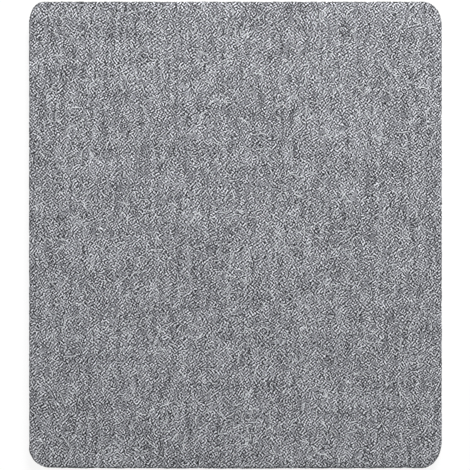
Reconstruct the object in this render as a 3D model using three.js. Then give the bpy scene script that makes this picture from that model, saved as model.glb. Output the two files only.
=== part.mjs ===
// Ironing pad: a flat slab of heather-grey wool felt, about half an inch thick, with rounded
// corners and bare cut edges. Felt this thick is laid up from several plies of carded wool,
// needled through one another and pressed, and the slab is then die-cut to its outline. So the
// pad is modelled as its stack of plies: two faces and the core between them.
// Millimetres, +Z up. The origin is on the table, under the middle of the pad.

import * as THREE from "three";

// Outline, seen from above
const padWidth = 380; // along X
const padDepth = 430; // along Y, from the front edge to the back edge
const backRightRadius = 17.5; // the corners are trimmed one by one, so the four differ a little
const backLeftRadius = 15;
const frontLeftRadius = 18.5;
const frontRightRadius = 21;

// Plies, counted from the table up
const tableFaceThickness = 2.5;
const corePlyThickness = 2.4;
const corePlyCount = 3;
const pressingFaceThickness = 2.5;
const partingGap = 0.1; // the fuzzy seam between two plies

// Cut edge
const tableArris = 1; // rounding of the lower edge
const pressingArris = 1.5; // rounding of the upper edge, where the die pushes the fibres down
const partingArris = 0.35; // rounding of a ply's edge beside a seam
const edgeDish = 0.4; // how far the middle of the stack springs back from the cut

// Facets of a round corner and of a rounded edge
const cornerSteps = 10;
const arrisSteps = 4;

// Heather grey, as the wool blend averages out
const feltColour = 0x8e8f94;
const feltRoughness = 0.95;

const quarterTurn = Math.PI / 2;

// The rounded outline at one height, drawn in by inset, counter-clockwise seen from above
function outlineRing({ inset, height }) {
  const radii = [backRightRadius, backLeftRadius, frontLeftRadius, frontRightRadius];
  return radii.flatMap((radius, corner) => {
    const toRight = corner === 0 || corner === 3 ? 1 : -1;
    const toBack = corner < 2 ? 1 : -1;
    const centreX = toRight * (padWidth / 2 - radius);
    const centreY = toBack * (padDepth / 2 - radius);
    return Array.from({ length: cornerSteps + 1 }, (_, step) => {
      const angle = (corner + step / cornerSteps) * quarterTurn;
      return new THREE.Vector3(
        centreX + (radius - inset) * Math.cos(angle),
        centreY + (radius - inset) * Math.sin(angle),
        height,
      );
    });
  });
}

// The section of a ply's cut edge, from its lower face to its upper face: an arc, the straight
// cut and another arc, all set back from the outline
function edgeSection({ thickness, setBack, lowerArris, upperArris }) {
  const turns = Array.from({ length: arrisSteps + 1 }, (_, step) => (step / arrisSteps) * quarterTurn);
  const lower = turns.map((turn) => ({
    inset: setBack + lowerArris * (1 - Math.sin(turn)),
    height: lowerArris * (1 - Math.cos(turn)),
  }));
  const upper = turns.map((turn) => ({
    inset: setBack + upperArris * (1 - Math.cos(turn)),
    height: thickness - upperArris * (1 - Math.sin(turn)),
  }));
  return [...lower, ...upper];
}

// A closed skin over rings of equal length, stacked from the bottom up, with a flat cap at each end
function loft(rings) {
  const count = rings[0].length;
  const points = rings.flat();
  const faces = [];
  for (let level = 0; level + 1 < rings.length; level++) {
    for (let i = 0; i < count; i++) {
      const next = (i + 1) % count;
      const lower = level * count;
      const upper = lower + count;
      faces.push(lower + i, lower + next, upper + next);
      faces.push(lower + i, upper + next, upper + i);
    }
  }
  const topRing = points.length - count;
  for (let i = 1; i + 1 < count; i++) {
    faces.push(0, i + 1, i);
    faces.push(topRing, topRing + i, topRing + i + 1);
  }
  const geometry = new THREE.BufferGeometry().setFromPoints(points);
  geometry.setIndex(faces);
  geometry.computeVertexNormals();
  return geometry;
}

// One ply of felt
function feltPly(name, section) {
  const felt = new THREE.MeshStandardMaterial({
    color: feltColour,
    roughness: feltRoughness,
    metalness: 0,
  });
  const ply = new THREE.Mesh(loft(edgeSection(section).map(outlineRing)), felt);
  ply.name = name;
  return ply;
}

// The lay-up: the faces are cut to the outline, and the core is dished between them
const layUp = [
  { name: "table_face_ply", thickness: tableFaceThickness, lowerArris: tableArris },
  ...Array.from({ length: corePlyCount }, (_, i) => ({
    name: `core_ply_${i + 1}`,
    thickness: corePlyThickness,
  })),
  { name: "pressing_face_ply", thickness: pressingFaceThickness, upperArris: pressingArris },
];

const ironingPad = new THREE.Group();
let height = 0;
layUp.forEach(({ name, thickness, lowerArris = partingArris, upperArris = partingArris }, i) => {
  const setBack = edgeDish * Math.sin((Math.PI * i) / (layUp.length - 1));
  const ply = feltPly(name, { thickness, setBack, lowerArris, upperArris });
  ply.position.z = height;
  ironingPad.add(ply);
  height += thickness + partingGap;
});

export default ironingPad;
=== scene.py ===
# Ironing pad of heather-grey wool felt: its plies from the table up, then the loose fibres that
# matt its faces and its cut edge. Metres, +Z up, +Y to the back edge; names ending in _mm are in
# millimetres.

import bpy
import numpy as np
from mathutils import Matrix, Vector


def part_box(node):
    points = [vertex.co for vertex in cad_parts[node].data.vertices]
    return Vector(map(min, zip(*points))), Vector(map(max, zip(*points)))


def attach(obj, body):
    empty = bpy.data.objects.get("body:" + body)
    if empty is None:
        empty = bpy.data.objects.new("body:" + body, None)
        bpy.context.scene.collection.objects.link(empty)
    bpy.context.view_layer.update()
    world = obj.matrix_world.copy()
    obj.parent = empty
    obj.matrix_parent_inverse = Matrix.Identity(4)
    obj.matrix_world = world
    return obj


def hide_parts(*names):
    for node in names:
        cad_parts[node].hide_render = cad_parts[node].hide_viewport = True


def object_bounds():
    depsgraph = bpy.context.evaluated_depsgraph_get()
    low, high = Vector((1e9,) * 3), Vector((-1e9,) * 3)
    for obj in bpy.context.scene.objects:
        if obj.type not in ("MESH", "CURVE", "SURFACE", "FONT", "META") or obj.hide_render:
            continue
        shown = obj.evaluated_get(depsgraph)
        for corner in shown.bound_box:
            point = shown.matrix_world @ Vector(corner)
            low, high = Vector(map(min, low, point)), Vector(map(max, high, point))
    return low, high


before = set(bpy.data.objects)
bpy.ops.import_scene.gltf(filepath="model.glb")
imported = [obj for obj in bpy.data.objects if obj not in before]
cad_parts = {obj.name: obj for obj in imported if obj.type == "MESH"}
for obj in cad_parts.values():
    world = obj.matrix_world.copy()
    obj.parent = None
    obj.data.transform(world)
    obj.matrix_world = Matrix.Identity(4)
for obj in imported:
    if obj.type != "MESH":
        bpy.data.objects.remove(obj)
cad_low, cad_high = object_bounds()
scene = bpy.context.scene
scene.view_settings.view_transform = "Standard"

# The photograph's view
# The pad lies square under the camera, with its back edge at the top of the picture, and fills it
# almost from edge to edge. The lens is long, so the cut edge stays hidden below the face.
mm = 0.001
picture_pixels = 470
picture_width = 432.8 * mm  # what the picture takes in at the height where the pad is widest
pressing_arris = 1.5 * mm  # rounding of the upper edge, below which the pad is widest
pixel = picture_width / picture_pixels
pad_right_of_centre, pad_below_centre = 0.42 * pixel, 0.15 * pixel

camera_data = bpy.data.cameras.new("camera")
camera_data.lens = 100
camera = bpy.data.objects.new("camera", camera_data)
camera_rise = picture_width * camera_data.lens / camera_data.sensor_width
camera.location = (-pad_right_of_centre, pad_below_centre, cad_high.z - pressing_arris + camera_rise)
scene.collection.objects.link(camera)
scene.camera = camera

# Table face ply
# The lowest web of carded wool, needled into the webs above it and pressed flat where it lies on
# the table. The die left its edge rounded, and its skin is matted and faintly lumpy.
half_width = (cad_high.x - cad_low.x) / 2
half_depth = (cad_high.y - cad_low.y) / 2
LEFT, RIGHT, FRONT, BACK = -1, 1, -1, 1
corner_reach = {  # how far each corner's curve runs along the front or back, and along the side
    (RIGHT, BACK): (17 * mm, 21.5 * mm),
    (LEFT, BACK): (13 * mm, 20 * mm),
    (LEFT, FRONT): (20 * mm, 18.5 * mm),
    (RIGHT, FRONT): (18 * mm, 24.5 * mm),
}
table_arris = 1 * mm
parting_arris = 0.35 * mm  # rounding of a ply's edge beside the seam to the next ply
front_bow = 0.7 * mm  # the front edge draws back this far at its ends

# Unevenness of the cut and of a face: how much, and over what lengths
edge_wander, edge_wander_mm = 0.11 * mm, (6, 60)
edge_fray, edge_fray_mm = 0.06 * mm, (1.6, 5)
tuft_rise, tuft_mm = 0.1 * mm, (3.2, 7)
ridge_rise, ridge_mm, ridge_stretch = 0.05 * mm, (4, 9), (1, 6, 1)  # needle tracks, long along Y
wave_rise, wave_mm = 0.06 * mm, (30, 120)
skin_margin = 3 * mm  # the lumps of a face fade out over this width along its edge

# Mesh size of a lumpy face, and facets of a corner's curve and of a rounded edge
cell = 1.5 * mm
corner_steps = 16
arris_steps = 4


def swell(points, lengths_mm, seed, stretch=(1, 1, 1)):
    """A smooth random swell of unit deviation at the points, made of waves of these lengths."""
    waves = 28
    pick = np.random.default_rng(seed)
    places_mm = points / mm / np.array(stretch)
    total = np.zeros(points.shape[:-1])
    for _ in range(waves):
        length = np.exp(pick.uniform(*np.log(lengths_mm)))
        heading = pick.normal(size=3)
        heading *= 2 * np.pi / length / np.linalg.norm(heading)
        total += np.sin(places_mm @ heading + pick.uniform(0, 2 * np.pi))
    return total * np.sqrt(2 / waves)


def side_line(side, inset):
    """The left or right side of the outline, from the front edge to the back edge."""
    turn = np.linspace(0, np.pi / 2, corner_steps + 1)
    run = np.linspace(0, 1, round(2 * half_depth / cell))[1:-1]
    (front_x, front_y), (back_x, back_y) = corner_reach[side, FRONT], corner_reach[side, BACK]
    front_end, back_end = front_y - half_depth, half_depth - back_y
    x = np.concatenate([
        half_width - front_x + (front_x - inset) * np.sin(turn),
        np.full(len(run), half_width - inset),
        half_width - back_x + (back_x - inset) * np.cos(turn),
    ])
    y = np.concatenate([
        front_end - (front_y - inset) * np.cos(turn),
        front_end + (back_end - front_end) * run,
        back_end + (back_y - inset) * np.sin(turn),
    ])
    return np.stack([side * x, y], axis=-1)


def felt_grid(inset, height):
    """Rows of points, front to back, that fill the outline as the die cut it at this height."""
    share = np.linspace(0, 1, round(2 * half_width / cell))[None, :, None]
    left, right = side_line(LEFT, inset)[:, None], side_line(RIGHT, inset)[:, None]
    flat = left + (right - left) * share
    grid = np.concatenate([flat, np.full((*flat.shape[:2], 1), height)], axis=-1)
    cut_left, cut_right, cut_front, cut_back = (
        edge_wander * swell(line, edge_wander_mm, seed=11)
        + edge_fray * swell(line, edge_fray_mm, seed=12)
        for line in (grid[:, 0], grid[:, -1], grid[0], grid[-1])
    )
    cut_front -= front_bow * (grid[0, :, 0] / half_width) ** 2
    to_right, to_back = 0.5 + grid[..., 0] / half_width / 2, 0.5 + grid[..., 1] / half_depth / 2
    grid[..., 0] += to_right * cut_right[:, None] - (1 - to_right) * cut_left[:, None]
    grid[..., 1] += to_back * cut_back - (1 - to_back) * cut_front
    return grid


def rim(grid):
    """The outermost points of a grid, counter-clockwise from its front left corner."""
    return np.concatenate([grid[0, :-1], grid[:-1, -1], grid[-1, :0:-1], grid[:0:-1, 0]])


def depth_inside(x, y):
    """How far a point of a face lies inside the outline, or a little less at the corners."""
    quarters = [(x >= 0) & (y >= 0), (x < 0) & (y >= 0), (x < 0) & (y < 0), (x >= 0) & (y < 0)]
    corners = [(RIGHT, BACK), (LEFT, BACK), (LEFT, FRONT), (RIGHT, FRONT)]
    radius = np.select(quarters, [max(corner_reach[corner]) for corner in corners])
    past_x, past_y = np.abs(x) - half_width + radius, np.abs(y) - half_depth + radius
    round_part = np.hypot(np.maximum(past_x, 0), np.maximum(past_y, 0))
    return radius - round_part - np.minimum(np.maximum(past_x, past_y), 0)


def matted_skin(x, y, seed):
    """Lumps of a felted face over its flat height: tufts, the needle tracks along Y, slow waves."""
    points = np.stack([x, y, 0 * x], axis=-1)
    tufts = tuft_rise * swell(points, tuft_mm, seed)
    tracks = ridge_rise * swell(points, ridge_mm, seed + 1, ridge_stretch)
    waves = wave_rise * swell(points, wave_mm, seed + 2)
    return (tufts + tracks + waves) * np.clip(depth_inside(x, y) / skin_margin, 0, 1)


def smooth_mesh(name, points, faces, spots):
    """A smooth mesh with its bake map: one spot for each corner of each face."""
    mesh = bpy.data.meshes.new(name)
    mesh.from_pydata(points.tolist(), [], faces)
    mesh.shade_smooth()
    bake_map = mesh.uv_layers.new(name="OFBake")
    bake_map.data.foreach_set("uv", spots.astype(np.float32).ravel())
    return mesh


def cut_edge_spots(levels, count):
    """Spots of a ply's cut edge: strips along the foot of the bake map, each with a margin."""
    strips, strip_height, strip_length, margin = 4, 0.018, 0.99, 0.1
    step = np.arange(count)
    strip = step * strips // count
    along = np.stack([step, step + 1, step + 1, step], axis=-1) * strips / count - strip[:, None]
    level = np.arange(levels - 1)[:, None] + np.array([margin, margin, 1 - margin, 1 - margin])
    up = strip[None, :, None] + margin + (1 - 2 * margin) * level[:, None] / (levels - 1)
    spots = np.broadcast_arrays(strip_length * along, strip_height * up)
    return np.stack(spots, axis=-1).reshape(-1, 2)


def lumpy_face(grid, ring, first, skin):
    """Inner points of a face, numbered from first, and its quads, counter-clockwise from above."""
    rows, columns = grid.shape[0] - 1, grid.shape[1] - 1
    inner = grid[1:-1, 1:-1].reshape(-1, 3)
    inner[:, 2] += skin(inner[:, 0], inner[:, 1])
    number = np.zeros(grid.shape[:2], int)
    number[1:-1, 1:-1] = (first + np.arange(len(inner))).reshape(rows - 1, columns - 1)
    number[0, :-1], number[:-1, -1] = ring[:columns], ring[columns:columns + rows]
    number[-1, :0:-1], number[:0:-1, 0] = ring[columns + rows:-rows], ring[-rows:]
    corners = [number[:-1, :-1], number[:-1, 1:], number[1:, 1:], number[1:, :-1]]
    return inner, np.stack(corners, axis=-1).reshape(-1, 4)


def ply_object(name, low, high, set_back, arrises, skins):
    """One closed ply between two heights. A face with a skin is a lumpy grid, one without is flat."""
    turn = np.linspace(0, np.pi / 2, arris_steps + 1)
    falling, rising = 1 - np.sin(turn), 1 - np.cos(turn)
    lower_arris, upper_arris = arrises
    insets = set_back + np.concatenate([lower_arris * falling, upper_arris * rising])
    heights = np.concatenate([low + lower_arris * rising, high - upper_arris * falling])
    grids = [felt_grid(inset, height) for inset, height in zip(insets, heights)]
    rings = np.array([rim(grid) for grid in grids])
    levels, count = rings.shape[:2]

    # The cut edge
    index = np.arange(levels * count).reshape(levels, count)
    after = np.roll(index, -1, axis=1)
    cut_faces = np.stack([index[:-1], after[:-1], after[1:], index[1:]], axis=-1).reshape(-1, 4)
    points = [rings.reshape(-1, 3)]
    faces = cut_faces.tolist()
    spots = [cut_edge_spots(levels, count)]

    # The two faces, mapped from above: a lumpy one large, a hidden one small below it
    lumpy_spot, lumpy_spread = (0.5, 0.545), (0.497, 0.45)
    hidden_spot, hidden_spread = (0.5, 0.08), 0.004
    pad_half = (half_width, half_depth)
    for order, grid, ring, skin in zip((-1, 1), (grids[0], grids[-1]), (index[0], index[-1]), skins):
        if skin is None:
            faces.append(ring[::order].tolist())
            spots.append(hidden_spot + rim(grid)[::order, :2] / pad_half * hidden_spread)
        else:
            inner, quads = lumpy_face(grid, ring, sum(map(len, points)), skin)
            points.append(inner)
            quads = quads[:, ::order]
            faces += quads.tolist()
            from_above = np.concatenate(points)[quads.ravel(), :2]
            spots.append(lumpy_spot + from_above / pad_half * lumpy_spread)

    mesh = smooth_mesh(name, np.concatenate(points), faces, np.concatenate(spots))
    mesh.materials.append(cut_felt)
    mesh.materials.append(matted_felt)
    matted_below, matted_above = (skin is not None for skin in skins)
    matted_bands = [matted_below] * arris_steps + [False] + [matted_above] * arris_steps
    is_matted = np.ones(len(faces), np.int32)
    is_matted[:len(cut_faces)] = np.repeat(matted_bands, count)
    mesh.polygons.foreach_set("material_index", is_matted)
    ply = bpy.data.objects.new(name, mesh)
    scene.collection.objects.link(ply)
    return ply


def linear(hex_colour):
    """An sRGB hex colour as linear RGBA."""
    channels = [int(hex_colour[i:i + 2], 16) / 255 for i in (1, 3, 5)]
    return [c / 12.92 if c <= 0.04045 else ((c + 0.055) / 1.055) ** 2.4 for c in channels] + [1]


def add_node(tree, kind, inputs=None, **settings):
    """Adds a node with its settings. Each input is a value or another node's output."""
    node = tree.nodes.new(kind)
    for name, value in settings.items():
        setattr(node, name, value)
    for name, value in (inputs or {}).items():
        if isinstance(value, bpy.types.NodeSocket):
            tree.links.new(value, node.inputs[name])
        else:
            node.inputs[name].default_value = value
    return node


def new_material(name):
    """An empty node material and its tree."""
    material = bpy.data.materials.new(name)
    material.use_nodes = True
    material.node_tree.nodes.clear()
    return material, material.node_tree


def place_in_mm(tree):
    """Where on the pad a point of its surface is, in millimetres."""
    place = add_node(tree, "ShaderNodeTexCoord").outputs["Object"]
    in_mm = add_node(tree, "ShaderNodeVectorMath", {0: place, "Scale": 1 / mm}, operation="SCALE")
    return in_mm.outputs[0]


def patchy_mix(tree, place, mix, patches):
    """A blend with soft patches: for each kind, its size in millimetres and how much it shows."""
    for size_mm, share in patches:
        spread = add_node(
            tree, "ShaderNodeMapping", {"Vector": place, "Scale": size_mm}, vector_type="TEXTURE"
        )
        noise = add_node(
            tree, "ShaderNodeTexNoise", {"Vector": spread.outputs[0], "Scale": 1, "Detail": 1}
        )
        even = add_node(tree, "ShaderNodeMath", {0: noise.outputs[0], 1: 0.5}, operation="SUBTRACT")
        mix = add_node(
            tree, "ShaderNodeMath", {0: even.outputs[0], 1: share, 2: mix}, operation="MULTIPLY_ADD"
        ).outputs[0]
    return mix


# Matted wool felt: charcoal and pale fibres, carded together, cross-lapped, needled and pressed.
# To the eye it is a salt-and-pepper mat of short crossing strands with faint tracks along Y.
# Single fibres are 0.03 mm, too fine to show, so the strands are drawn a millimetre wide.
wool_finish = {  # matt, with the faint bloom of fibre ends
    "IOR": 1.55, "Roughness": 0.92, "Specular IOR Level": 0.2,
    "Sheen Weight": 0.1, "Sheen Roughness": 0.5,
}
charcoal_wool, grey_wool, pale_wool = "#08090E", "#898A90", "#F4F6FC"
strand_length_mm = 3.6
strand_pitches_mm = {2.2: 1.4, 2.9: 0.6}  # from one pale strand to the next, and how much it shows
grey_level = 0.5125  # of the pattern that draws the strands, which runs from 0 to 1
lap_headings, lap_shares = (135, 43), (0.54, 0.46)  # of two crossing laps, in degrees across strands
lap_spread = 0.75  # 0 where the strands of a lap lie every way, 1 where all lie one way
layer_shift_mm, lap_shift_mm = 37.1, 23.7  # these keep the patterns of strands from lining up
crimp_mm, crimp_sway_mm = 9, 0.5  # length of a strand's crimp, and how far it sways
busy_mm = 4  # size of busy and calm patches
least_bold, most_bold = 0.3, 2  # how strongly the strands show there
noise_low, noise_high = 0.3, 0.7  # nearly all of a noise pattern lies between these
track_mm, track_share = (2.3, 20, 2.3), 0.45
row_mm, row_share = (80, 11, 11), 0.15
mottle_mm, mottle_share = (14, 14, 14), 0.03
darkest_mix, palest_mix = -0.31, 0.43  # where the blend is all charcoal and all pale; at 0 it is grey
nap_mm, nap_rise, nap_strength = 1.2, 0.25 * mm, 0.4

matted_felt, tree = new_material("matted_wool_felt")
place = place_in_mm(tree)
crimp = add_node(tree, "ShaderNodeTexNoise", {"Vector": place, "Scale": 1 / crimp_mm, "Detail": 1})
crimped = add_node(
    tree, "ShaderNodeVectorMath",
    {0: crimp.outputs["Color"], 1: (crimp_sway_mm, crimp_sway_mm, 0), 2: place},
    operation="MULTIPLY_ADD",
)
busy = add_node(tree, "ShaderNodeTexNoise", {"Vector": place, "Scale": 1 / busy_mm, "Detail": 1})
boldness = add_node(
    tree, "ShaderNodeMapRange",
    {
        "Value": busy.outputs[0], "From Min": noise_low, "From Max": noise_high,
        "To Min": least_bold, "To Max": most_bold,
    },
)
mix = patchy_mix(
    tree, place, 0.0, [(track_mm, track_share), (row_mm, row_share), (mottle_mm, mottle_share)]
)
for layer, (pitch_mm, pitch_share) in enumerate(strand_pitches_mm.items()):
    for heading, lap_share in zip(lap_headings, lap_shares):
        shift = (layer_shift_mm * layer, lap_shift_mm * heading, 0)
        shifted = add_node(tree, "ShaderNodeVectorMath", {0: crimped.outputs[0], 1: shift})
        strands = add_node(
            tree, "ShaderNodeTexGabor",
            {
                "Vector": shifted.outputs[0], "Scale": 1 / strand_length_mm,
                "Frequency": strand_length_mm / pitch_mm, "Anisotropy": lap_spread,
                "Orientation": np.radians(heading),
            },
        )
        even = add_node(
            tree, "ShaderNodeMath", {0: strands.outputs["Value"], 1: grey_level}, operation="SUBTRACT"
        )
        bold = add_node(
            tree, "ShaderNodeMath", {0: even.outputs[0], 1: boldness.outputs[0]}, operation="MULTIPLY"
        )
        share = pitch_share * lap_share * len(lap_shares)
        mix = add_node(
            tree, "ShaderNodeMath", {0: bold.outputs[0], 1: share, 2: mix}, operation="MULTIPLY_ADD"
        ).outputs[0]
tone = add_node(
    tree, "ShaderNodeMapRange", {"Value": mix, "From Min": darkest_mix, "From Max": palest_mix}
)
heather = add_node(tree, "ShaderNodeValToRGB", {0: tone.outputs[0]})
heather.color_ramp.elements.new(-darkest_mix / (palest_mix - darkest_mix))
for stop, wool_colour in zip(heather.color_ramp.elements, (charcoal_wool, grey_wool, pale_wool)):
    stop.color = linear(wool_colour)
nap = add_node(tree, "ShaderNodeTexNoise", {"Vector": place, "Scale": 1 / nap_mm, "Detail": 1})
bump = add_node(
    tree, "ShaderNodeBump", {"Strength": nap_strength, "Distance": nap_rise, "Height": nap.outputs[0]}
)
felt = add_node(
    tree, "ShaderNodeBsdfPrincipled",
    {"Base Color": heather.outputs[0], "Normal": bump.outputs[0], **wool_finish},
)
add_node(tree, "ShaderNodeOutputMaterial", {0: felt.outputs[0]})

# Cut wool felt: the same blend where the die went through it. The eye sees the ends and flanks of
# fibres that lie in flat layers. It is darker than the faces partly because light sinks in between
# the ends and partly as painted shade of the cut edge.
layer_mm, layer_share = (3.5, 3.5, 0.9), 1.6
fleck_mm, fleck_share = (1.1, 1.1, 0.7), 3
# Painted shade: both colours are set darker than the face's blend
shaded_cut_dark, shaded_cut_light = "#222328", "#ACADB3"
cut_rise, cut_strength = 0.3 * mm, 0.6

cut_felt, tree = new_material("cut_wool_felt")
mix = patchy_mix(tree, place_in_mm(tree), 0.5, [(layer_mm, layer_share), (fleck_mm, fleck_share)])
tone = add_node(tree, "ShaderNodeClamp", {0: mix})
ends = add_node(  # inputs 6 and 7 are the two colours
    tree, "ShaderNodeMix", {0: tone.outputs[0], 6: linear(shaded_cut_dark), 7: linear(shaded_cut_light)},
    data_type="RGBA",
)
bump = add_node(
    tree, "ShaderNodeBump", {"Strength": cut_strength, "Distance": cut_rise, "Height": mix}
)
felt = add_node(
    tree, "ShaderNodeBsdfPrincipled",
    {"Base Color": ends.outputs[2], "Normal": bump.outputs[0], **wool_finish},
)
add_node(tree, "ShaderNodeOutputMaterial", {0: felt.outputs[0]})


def table_skin(x, y):
    """Hollows of the table face over the table."""
    return matted_skin(x, y, seed=21).clip(0)


table_low, table_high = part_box("table_face_ply")
table_ply = ply_object(
    "table_face_felt", table_low.z, table_high.z, 0, (table_arris, parting_arris), (table_skin, None)
)
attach(table_ply, "root")
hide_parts("table_face_ply")

# Core plies
# The webs between the two faces, of the same wool and needled to them. Only their cut edges show,
# dished a little where the stack sprang back from the die.
core_nodes = sorted(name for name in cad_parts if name.startswith("core_ply"))
for core_node in core_nodes:
    core_low, core_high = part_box(core_node)
    core_ply = ply_object(
        core_node + "_felt", core_low.z, core_high.z, half_width - core_high.x,
        (parting_arris, parting_arris), (None, None),
    )
    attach(core_ply, "root")
    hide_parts(core_node)

# Pressing face ply
# The top web, which cloth and iron lie on. The die pushed its edge down as it cut, so it is
# rounder there than the table face.
edge_roll, roll_width = 0.9 * mm, 6 * mm  # how far the face sinks towards its edge, and from where


def pressing_skin(x, y):
    """Lumps of the pressing face over the height of its edge, with its slow rise away from there."""
    return matted_skin(x, y, seed=31) + edge_roll * (1 - np.exp(-depth_inside(x, y) / roll_width))


pressing_low, pressing_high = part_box("pressing_face_ply")
edge_height = pressing_high.z - edge_roll
pressing_ply = ply_object(
    "pressing_face_felt", pressing_low.z, edge_height, 0, (parting_arris, pressing_arris),
    (None, pressing_skin),
)
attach(pressing_ply, "root")
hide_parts("pressing_face_ply")

# Loose fibres of the pressing face
# Strands of the top web that the needles left lying on it, half sunk in: pale ones, each with a
# charcoal one beside it, and long pale hairs across them. Each charcoal strand is both a dark fibre
# of the blend and a painted shadow of its pale one.
strand_points = 5
strand_sides = 3
along_strand = np.linspace(-0.5, 0.5, strand_points)
strand_arch = np.cos(np.pi * along_strand)  # 0 at the ends and 1 in the middle
end_width = 0.6  # of the width in the middle
tuck = 0.6  # how deep the ends are sunk in, as a share of the lift in the middle
tucked_arch = (1 + tuck) * strand_arch - tuck
lap_stray = 26  # degrees by which strands stray from their lap
rim_margin = 1.2 * mm
upward = np.array([0, 0, 1])
draw = np.random.default_rng(5)

# How far the dyes drift from place to place, and over what lengths
track_drift, track_drift_mm, track_drift_stretch = 0.1, (5, 14), (1, 5, 1)
mottle_drift, mottle_drift_mm = 0.08, (20, 60)


def strand_mesh(name, lines, outward, widths, flatness, dyes):
    """Closed tapering strands along the lines, flattened against what they lie on."""
    count = len(lines)
    along = np.gradient(lines, axis=1)
    along /= np.linalg.norm(along, axis=-1, keepdims=True)
    across = np.cross(along, outward)
    across /= np.linalg.norm(across, axis=-1, keepdims=True)
    taper = end_width + (1 - end_width) * strand_arch
    half = widths[:, None, None] / 2 * taper[:, None]
    corners = np.radians(90 + 360 / strand_sides * np.arange(strand_sides))
    points = np.stack(
        [lines + half * (np.cos(c) * across + flatness * np.sin(c) * outward) for c in corners], axis=2
    )
    number = np.arange(count * strand_points * strand_sides).reshape(points.shape[:3])
    beside = np.roll(number, -1, axis=2)
    quads = np.stack([number[:, :-1], beside[:, :-1], beside[:, 1:], number[:, 1:]], axis=-1)
    ends = np.concatenate([number[:, 0, ::-1], number[:, -1]])

    # Each strand has its own cell of the bake map, with its ends beside its flanks
    cells = int(np.ceil(np.sqrt(count)))
    cell_corner = np.stack([np.arange(count) % cells, np.arange(count) // cells], axis=-1)
    ring, side = np.meshgrid(np.arange(strand_points - 1), np.arange(strand_sides), indexing="ij")
    u = (np.stack([ring, ring, ring + 1, ring + 1], axis=-1) + 1) / (strand_points + 1)
    v = (np.stack([side, side + 1, side + 1, side], axis=-1) + 0.5) / (strand_sides + 1)
    quad_spots = cell_corner[:, None, None, None] + np.stack([u, v], axis=-1)
    end_triangle = np.array([(0.03, 0.3), (0.1, 0.3), (0.1, 0.6)])
    end_spots = np.concatenate([cell_corner, cell_corner])[:, None] + end_triangle
    spots = np.concatenate([quad_spots.reshape(-1, 2), end_spots.reshape(-1, 2)]) / cells

    faces = quads.reshape(-1, 4).tolist() + ends.tolist()
    mesh = smooth_mesh(name, points.reshape(-1, 3), faces, spots)
    dye = mesh.attributes.new("dye", "FLOAT", "POINT")
    dye.data.foreach_set("value", np.repeat(dyes, strand_points * strand_sides).astype(np.float32))
    return mesh


def lay_fibres(name, finish, lines, outward, widths, flatness, dyes):
    """Makes the strands as one piece that rides on the pad."""
    mesh = strand_mesh(name, lines, outward, widths, flatness, dyes)
    mesh.materials.append(finish)
    fibres = bpy.data.objects.new(name, mesh)
    scene.collection.objects.link(fibres)
    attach(fibres, "root")


def wool_fibre(name, dark, light):
    """Dyed wool fibre: matt with a faint bloom, each strand of one colour between dark and light."""
    material, tree = new_material(name)
    dye = add_node(tree, "ShaderNodeAttribute", attribute_name="dye")
    blend = add_node(
        tree, "ShaderNodeMix", {0: dye.outputs["Fac"], 6: linear(dark), 7: linear(light)},
        data_type="RGBA",
    )
    wool = add_node(
        tree, "ShaderNodeBsdfPrincipled", {"Base Color": blend.outputs[2], **wool_finish}
    )
    add_node(tree, "ShaderNodeOutputMaterial", {0: wool.outputs[0]})
    return material


def lying_lines(count, lengths, bends, margin):
    """Gently curved lines scattered over a face, most of them along the two laps."""
    tries = 2 * count  # some of them leave the face
    start = draw.uniform((-half_width, -half_depth), (half_width, half_depth), (tries, 2))
    lap = draw.choice(lap_headings, tries, p=lap_shares) + 90 + draw.normal(0, lap_stray, tries)
    bend = draw.uniform(*bends, tries) * draw.choice((-1, 1), tries)
    heading = np.radians(lap)[:, None] + bend[:, None] * along_strand
    step = draw.uniform(*lengths, tries)[:, None] / (strand_points - 1)
    steps = np.stack([step * np.cos(heading), step * np.sin(heading)], axis=-1)
    lines = start[:, None] + np.cumsum(steps, axis=1) - steps.sum(axis=1, keepdims=True) / 2
    inside = depth_inside(lines[..., 0], lines[..., 1]).min(axis=1) > margin
    return lines[inside][:count]


def laid_on_face(lines, lift):
    """The lines over the lumps of the pressing face, with their ends tucked in."""
    x, y = lines[..., 0], lines[..., 1]
    height = edge_height + pressing_skin(x, y) + lift[:, None] * tucked_arch
    return np.stack([x, y, height], axis=-1)


def dye_drift(lines):
    """How much paler than the average the blend is where each line lies: needle tracks and mottle."""
    middles = lines[:, strand_points // 2]
    middles = np.concatenate([middles, 0 * middles[:, :1]], axis=-1)
    tracks = swell(middles, track_drift_mm, seed=41, stretch=track_drift_stretch)
    return track_drift * tracks + mottle_drift * swell(middles, mottle_drift_mm, seed=42)


pale_wool_fibre = wool_fibre("pale_wool_fibre", "#B2B6BE", "#FAFDFF")
charcoal_and_shadow_fibre = wool_fibre("charcoal_and_shadow_fibre", "#101116", "#303137")

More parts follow.
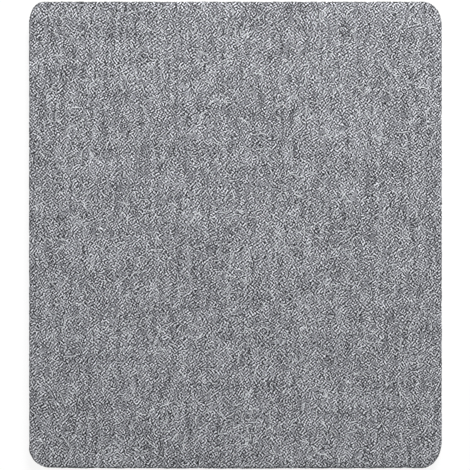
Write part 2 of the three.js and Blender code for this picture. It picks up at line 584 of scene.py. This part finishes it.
pair_count = 3600
pair_lengths, pair_bends = (2.5 * mm, 6 * mm), (0.1, 1)  # a bend is the turn from end to end, in radians
narrowest_pair, widest_pair = 1.4 * mm, 2 * mm
pale_share = 0.47  # of the width of a pair
pair_lift = 0.4 * mm
pair_slide = 0.6 * mm  # how far the two are shifted along each other
pair_flatness = 0.5
pair_lines = lying_lines(pair_count, pair_lengths, pair_bends, rim_margin + widest_pair / 2)
pair_widths = draw.uniform(narrowest_pair, widest_pair, pair_count)
pair_lifts = draw.uniform(0, pair_lift, pair_count)
pair_way = np.gradient(pair_lines, axis=1)
pair_way /= np.linalg.norm(pair_way, axis=-1, keepdims=True)
pair_side = np.stack([pair_way[..., 1], -pair_way[..., 0]], axis=-1)
# Painted shadow: each pale strand has a near-black strand laid along one side of it
for name, finish, share, shift in (
    ("pale_face_fibres", pale_wool_fibre, pale_share, 0),
    ("charcoal_and_shadow_face_fibres", charcoal_and_shadow_fibre, 1 - pale_share, 0.5),
):
    slide = draw.normal(0, pair_slide, (pair_count, 1, 1)).clip(-rim_margin, rim_margin)
    lines = pair_lines + shift * pair_widths[:, None, None] * pair_side + slide * pair_way
    dyes = draw.uniform(0, 1, pair_count) + dye_drift(lines)
    lay_fibres(
        name, finish, laid_on_face(lines, pair_lifts), upward,
        share * pair_widths, pair_flatness, dyes.clip(0, 1),
    )

hair_count = 700
hair_lengths, hair_bends = (7 * mm, 14 * mm), (0.2, 1.6)
hair_lifts = (0.25 * mm, 0.45 * mm)
hair_widths = (0.55 * mm, 0.85 * mm)
hair_flatness = 0.6
hair_dyes = (0.6, 1)
hair_lines = lying_lines(hair_count, hair_lengths, hair_bends, rim_margin)
lay_fibres(
    "long_face_hairs", pale_wool_fibre,
    laid_on_face(hair_lines, draw.uniform(*hair_lifts, hair_count)), upward,
    draw.uniform(*hair_widths, hair_count), hair_flatness, draw.uniform(*hair_dyes, hair_count),
)

# Fibres of the cut edge
# Strands that the die left loose. They lie over the rounded upper edge and along the cut, and
# bridge the seams between the plies. Their colours lean darker than the face's strands, as painted
# shade of the rounded edge and the cut.
edge_count = 7000
edge_lengths = (2 * mm, 6 * mm)
edge_stray = 35  # degrees by which they stray from the run of the edge
edge_lifts = (0.05 * mm, 0.3 * mm)
edge_widths = (0.5 * mm, 1 * mm)
edge_flatness = 0.5
# Painted shade: the lean towards dark darkens the rounded edge and the cut beyond the face's blend
edge_dark_lean = (0.5, 0.9)  # more of them are dark than pale; two equal numbers would lean neither way
least_drop, least_height = 0.4 * mm, 0.8 * mm  # from where the rounding starts, and over the table
edge_dish = half_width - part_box(core_nodes[len(core_nodes) // 2])[1].x
edge_wool_fibre = wool_fibre("edge_wool_fibre", "#0C0D10", "#CACCD2")

edge_ring = rim(felt_grid(0, cad_high.z / 2))[:, :2]
edge_loop = np.concatenate([edge_ring, edge_ring[:1]])
edge_reach = np.concatenate([[0], np.cumsum(np.linalg.norm(np.diff(edge_loop, axis=0), axis=1))])


def on_rim(run):
    """Where the rim is after this run along it."""
    run = run % edge_reach[-1]
    return np.stack([np.interp(run, edge_reach, edge_loop[:, axis]) for axis in (0, 1)], axis=-1)


def over_edge(run, drop):
    """Points after a run along the rim and a drop over the upper edge, and which way is out there."""
    turn = (drop / pressing_arris).clip(0, np.pi / 2)
    below_arris = (drop - pressing_arris * np.pi / 2).clip(0)
    height = edge_height - pressing_arris * (1 - np.cos(turn)) - below_arris
    dish = edge_dish * np.sin(np.pi * height / cad_high.z) * np.sin(turn)
    inset = pressing_arris * (1 - np.sin(turn)) - drop.clip(None, 0) + dish
    way = on_rim(run + cell) - on_rim(run - cell)
    way /= np.linalg.norm(way, axis=-1, keepdims=True)
    sideways = np.stack([way[..., 1], -way[..., 0]], axis=-1)
    points = np.concatenate([on_rim(run) - inset[..., None] * sideways, height[..., None]], axis=-1)
    outward = np.concatenate([np.sin(turn)[..., None] * sideways, np.cos(turn)[..., None]], axis=-1)
    return points, outward


drop_range = (least_drop, edge_height + pressing_arris * (np.pi / 2 - 1) - least_height)
edge_tilt = np.radians(draw.normal(0, edge_stray, edge_count))[:, None]
edge_step = draw.uniform(*edge_lengths, edge_count)[:, None] * along_strand
edge_runs = draw.uniform(0, edge_reach[-1], edge_count)[:, None] + edge_step * np.cos(edge_tilt)
edge_drops = draw.uniform(*drop_range, edge_count)[:, None] + edge_step * np.sin(edge_tilt)
edge_lines, edge_out = over_edge(edge_runs, edge_drops.clip(*drop_range))
edge_lines += draw.uniform(*edge_lifts, edge_count)[:, None, None] * tucked_arch[:, None] * edge_out
lay_fibres(
    "cut_edge_fibres", edge_wool_fibre, edge_lines, edge_out,
    draw.uniform(*edge_widths, edge_count), edge_flatness, draw.beta(*edge_dark_lean, edge_count),
)

# Fibres of the table face
# Loose strands of the lowest web, from charcoal to pale, that the needles left on it. The pad's
# weight presses them flat against the table.
under_count = 7000
under_lengths, under_bends = (4 * mm, 12 * mm), (0.2, 1.6)
under_narrowest, under_widest = 0.55 * mm, 0.9 * mm
under_thickness = 0.24 * mm
under_wool_fibre = wool_fibre("under_wool_fibre", "#101116", "#F0F1F6")
under_lines = lying_lines(under_count, under_lengths, under_bends, rim_margin)
under_height = np.full((under_count, strand_points, 1), table_low.z + under_thickness / 2)
lay_fibres(
    "table_face_fibres", under_wool_fibre,
    np.concatenate([under_lines, under_height], axis=-1), -upward,
    draw.uniform(under_narrowest, under_widest, under_count), under_thickness / under_widest,
    draw.uniform(0, 1, under_count),
)

# White table and studio light
# A plain white table, which the camera sees as white with the pad's soft shadow on it, a softbox
# high behind the pad and an even white room.
table_reach = 4
table_clearance = 0.02 * mm
table_white, full_white = linear("#F0F0F0"), linear("#FFFFFF")
glow_share, glow_strength = 0.8, 1.08  # how much of the table is plain white to the camera, how bright
fade_from, fade_to = 0.4, 1.6  # from the pad's middle to where that share rises, and to where it is all
room_light, room_seen = 0.38, 1  # how bright the room is as a light, and to the camera
table_corners = [(-1, -1), (1, -1), (1, 1), (-1, 1)]
table_mesh = bpy.data.meshes.new("white_table")
table_mesh.from_pydata(
    [(x * table_reach, y * table_reach, -table_clearance) for x, y in table_corners], [], [(0, 1, 2, 3)]
)
white_table = bpy.data.objects.new("white_table", table_mesh)
scene.collection.objects.link(white_table)


def seen_directly(tree):
    """1 for a ray from the camera, a mirror or glass, and 0 for a ray that lights something."""
    rays = add_node(tree, "ShaderNodeLightPath").outputs
    seen = rays["Is Camera Ray"]
    for kind in ("Is Glossy Ray", "Is Transmission Ray"):
        either = add_node(tree, "ShaderNodeMath", {0: seen, 1: rays[kind]}, operation="MAXIMUM")
        seen = either.outputs[0]
    return seen


# Matt white paint: an even white without gloss, on which the pad's shadow shows.
table_paint, tree = new_material("white_table_paint")
place = add_node(tree, "ShaderNodeTexCoord")
distance = add_node(tree, "ShaderNodeVectorMath", {0: place.outputs["Object"]}, operation="LENGTH")
fade = add_node(
    tree, "ShaderNodeMapRange",
    {
        "Value": distance.outputs["Value"], "From Min": fade_from, "From Max": fade_to,
        "To Min": glow_share, "To Max": 1,
    },
)
blend = add_node(
    tree, "ShaderNodeMath", {0: seen_directly(tree), 1: fade.outputs[0]}, operation="MULTIPLY"
)
matt = add_node(tree, "ShaderNodeBsdfDiffuse", {"Color": table_white})
glow = add_node(tree, "ShaderNodeEmission", {"Color": full_white, "Strength": glow_strength})
both = add_node(
    tree, "ShaderNodeMixShader", {0: blend.outputs[0], 1: matt.outputs[0], 2: glow.outputs[0]}
)
add_node(tree, "ShaderNodeOutputMaterial", {0: both.outputs[0]})
table_mesh.materials.append(table_paint)

softbox_data = bpy.data.lights.new("softbox", "AREA")
softbox_data.shape = "DISK"
softbox_data.size = 1
softbox_data.energy = 48.5
softbox = bpy.data.objects.new("softbox", softbox_data)
softbox.location = (0.35, 1.7, 1.25)  # behind the pad and a little to its right
softbox.rotation_euler = (-softbox.location).to_track_quat("-Z", "Y").to_euler()
scene.collection.objects.link(softbox)

white_room = bpy.data.worlds.new("white_room")
scene.world = white_room
white_room.use_nodes = True
tree = white_room.node_tree
tree.nodes.clear()
strength = add_node(
    tree, "ShaderNodeMapRange",
    {"Value": seen_directly(tree), "To Min": room_light, "To Max": room_seen},
)
sky = add_node(tree, "ShaderNodeBackground", {"Color": full_white, "Strength": strength.outputs[0]})
add_node(tree, "ShaderNodeOutputWorld", {0: sky.outputs[0]})
